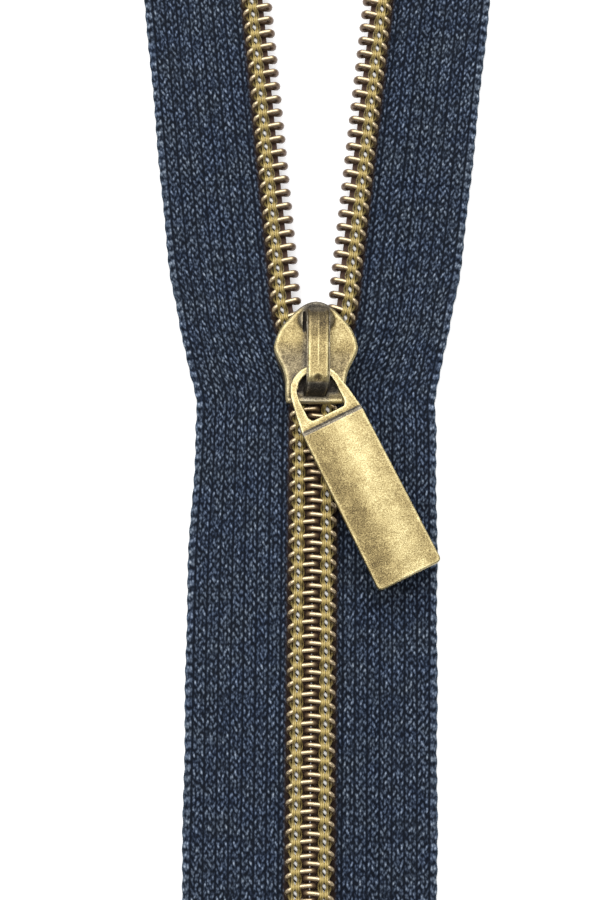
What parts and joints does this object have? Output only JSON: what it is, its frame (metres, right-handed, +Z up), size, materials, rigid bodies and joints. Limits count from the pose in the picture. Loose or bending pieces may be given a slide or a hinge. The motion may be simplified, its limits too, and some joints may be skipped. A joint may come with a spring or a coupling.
{
  "type": "zipper",
  "caption": "Coil zipper lying flat and part open: navy tapes, brass-coloured coil, an auto-lock slider with a bridge, and a rectangular metal pull.",
  "frame": {"origin": "middle of the zipper's length and width on the surface it lies on", "axes": "+Y along the chain toward the open top end, +X to the right seen from the face, +Z up out of the face"},
  "size_m": [0.0478, 0.1494, 0.008],
  "materials": {
    "antique_brass": "antique plated zinc alloy, worn bright on the edges, darker in the hollows",
    "spring_steel": "bare spring steel strip",
    "navy_tape": "knitted polyester tape with fine lengthwise ribs",
    "coil_nylon": "nylon monofilament with a metallic antique brass coating",
    "core_yarn": "pale filler cord, glossy",
    "gold_thread": "gold polyester sewing thread"
  },
  "bodies": {
    "chain_base": {"tape_lower_left": "navy_tape", "coil_lower_left": "coil_nylon", "core_cord_lower_left": "core_yarn", "stitching_lower_left": "gold_thread", "tape_lower_right": "navy_tape", "coil_lower_right": "coil_nylon", "core_cord_lower_right": "core_yarn", "stitching_lower_right": "gold_thread", "bottom_stop": "antique_brass"},
    "throat_left": {"tape_throat_left": "navy_tape", "coil_throat_left": "coil_nylon", "core_cord_throat_left": "core_yarn", "stitching_throat_left": "gold_thread"},
    "throat_right": {"tape_throat_right": "navy_tape", "coil_throat_right": "coil_nylon", "core_cord_throat_right": "core_yarn", "stitching_throat_right": "gold_thread"},
    "middle_left": {"tape_middle_left": "navy_tape", "coil_middle_left": "coil_nylon", "core_cord_middle_left": "core_yarn", "stitching_middle_left": "gold_thread"},
    "middle_right": {"tape_middle_right": "navy_tape", "coil_middle_right": "coil_nylon", "core_cord_middle_right": "core_yarn", "stitching_middle_right": "gold_thread"},
    "upper_left": {"tape_upper_left": "navy_tape", "coil_upper_left": "coil_nylon", "core_cord_upper_left": "core_yarn", "stitching_upper_left": "gold_thread", "top_stop_left": "antique_brass"},
    "upper_right": {"tape_upper_right": "navy_tape", "coil_upper_right": "coil_nylon", "core_cord_upper_right": "core_yarn", "stitching_upper_right": "gold_thread", "top_stop_right": "antique_brass"},
    "slider": {"slider_body": "antique_brass", "slider_bridge": "antique_brass"},
    "lock_spring": {"lock_spring": "spring_steel"},
    "pull_bar": {"pull_bar": "antique_brass"},
    "pull": {"pull_tab": "antique_brass"}
  },
  "joints": [
    {"name": "slider_slide", "type": "slide", "parent": "chain_base", "child": "slider", "axis": [0, 1, 0], "range_m": [0, 0.045], "deforming": ["tape_throat_left", "coil_throat_left", "core_cord_throat_left", "stitching_throat_left", "tape_throat_right", "coil_throat_right", "core_cord_throat_right", "stitching_throat_right", "tape_middle_left", "coil_middle_left", "core_cord_middle_left", "stitching_middle_left", "tape_middle_right", "coil_middle_right", "core_cord_middle_right", "stitching_middle_right", "tape_upper_left", "coil_upper_left", "core_cord_upper_left", "stitching_upper_left", "tape_upper_right", "coil_upper_right", "core_cord_upper_right", "stitching_upper_right"]},
    {"name": "throat_left_bend", "type": "hinge", "parent": "chain_base", "child": "throat_left", "pos_m": [0, 0.0087, 0.0014], "axis": [0, 0, 1], "range_deg": [-15, 0]},
    {"name": "middle_left_bend", "type": "hinge", "parent": "throat_left", "child": "middle_left", "pos_m": [-0.00241, 0.01768, 0.0014], "axis": [0, 0, 1], "range_deg": [0, 8.96]},
    {"name": "upper_left_bend", "type": "hinge", "parent": "middle_left", "child": "upper_left", "pos_m": [-0.00617, 0.05318, 0.0014], "axis": [0, 0, 1], "range_deg": [0, 15]},
    {"name": "throat_right_bend", "type": "hinge", "parent": "chain_base", "child": "throat_right", "pos_m": [0, 0.0087, 0.0014], "axis": [0, 0, 1], "range_deg": [0, 15]},
    {"name": "middle_right_bend", "type": "hinge", "parent": "throat_right", "child": "middle_right", "pos_m": [0.00241, 0.01768, 0.0014], "axis": [0, 0, 1], "range_deg": [-8.96, 0]},
    {"name": "upper_right_bend", "type": "hinge", "parent": "middle_right", "child": "upper_right", "pos_m": [0.00617, 0.05318, 0.0014], "axis": [0, 0, 1], "range_deg": [-15, 0]},
    {"name": "pull_swing", "type": "hinge", "parent": "slider", "child": "pull_bar", "pos_m": [0, 0.0083, 0.0059], "axis": [0, 0, 1], "range_deg": [-37, 0]},
    {"name": "pull_flip", "type": "hinge", "parent": "pull_bar", "child": "pull", "pos_m": [-0.00049, 0.00805, 0.0059], "axis": [-0.891, -0.454, 0], "range_deg": [0, 92]},
    {"name": "lock_spring_lift", "type": "hinge", "parent": "slider", "child": "lock_spring", "pos_m": [0, 0.0149, 0.00695], "axis": [-1, 0, 0], "range_deg": [0, 2.5]}
  ],
  "couplings": [
    {"joint": "throat_left_bend", "follows": "slider_slide", "rad_per_m": -5.8178},
    {"joint": "middle_left_bend", "follows": "slider_slide", "rad_per_m": 3.4713},
    {"joint": "upper_left_bend", "follows": "slider_slide", "rad_per_m": 5.8178},
    {"joint": "throat_right_bend", "follows": "slider_slide", "rad_per_m": 5.8178},
    {"joint": "middle_right_bend", "follows": "slider_slide", "rad_per_m": -3.4713},
    {"joint": "upper_right_bend", "follows": "slider_slide", "rad_per_m": -5.8178},
    {"joint": "lock_spring_lift", "follows": "pull_flip", "ratio": 0.02717}
  ]
}
